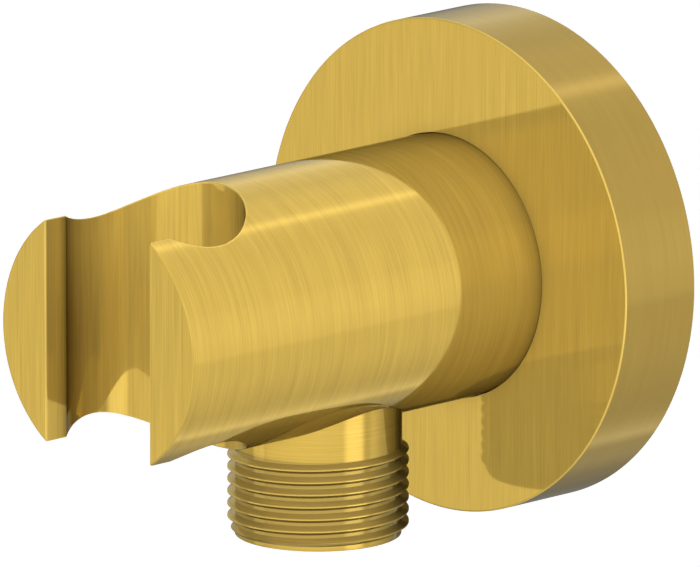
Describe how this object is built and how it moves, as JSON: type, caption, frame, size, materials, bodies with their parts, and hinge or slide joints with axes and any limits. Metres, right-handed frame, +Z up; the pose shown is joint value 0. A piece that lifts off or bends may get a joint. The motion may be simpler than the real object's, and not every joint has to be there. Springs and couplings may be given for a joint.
{
  "type": "hand shower holder",
  "caption": "Wall shower outlet in brushed gold: round rosette, round body forked at its front as a handset holder, threaded hose outlet below with a check valve.",
  "frame": {"origin": "on the axis of the round body and of the wall thread, in the plane of the finished wall", "axes": "+Y into the wall along the wall thread, -Y out into the room along the body, +Z up, hose outlet towards -Z"},
  "size_m": [0.058, 0.082, 0.058],
  "materials": {
    "brushed_gold": "brushed, clear bright sheen",
    "plain_brass": "turned, uncoated",
    "black_rubber": "smooth",
    "soft_seal": "matt, soft",
    "red_fibre": "matt, pressed fibre",
    "stainless": "bright",
    "white_plastic": "moulded",
    "blue_plastic": "moulded"
  },
  "bodies": {
    "holder": {"holder_body": "brushed_gold", "outlet_nipple": "brushed_gold", "wall_nipple": "plain_brass", "nipple_washer": "red_fibre", "nipple_o_ring_rear": "black_rubber", "nipple_o_ring_front": "black_rubber", "grub_screw": "stainless", "outlet_nipple_o_ring": "black_rubber", "check_valve_housing": "white_plastic", "check_valve_o_ring": "black_rubber", "check_valve_cage": "white_plastic", "check_valve_spring": "stainless"},
    "rosette": {"wall_rosette": "brushed_gold", "rosette_o_ring": "black_rubber", "wall_seal_ring": "soft_seal"},
    "poppet": {"check_valve_poppet": "blue_plastic", "check_valve_poppet_seal": "black_rubber"}
  },
  "joints": [
    {"name": "rosette_slide", "type": "slide", "parent": "holder", "child": "rosette", "axis": [0, -1, 0], "range_m": [0, 0.01]},
    {"name": "poppet_slide", "type": "slide", "parent": "holder", "child": "poppet", "axis": [0, 0, -1], "range_m": [0, 0.0025], "stiffness_N_per_m": 200, "springref_m": -0.002, "deforming": ["check_valve_spring"]}
  ]
}
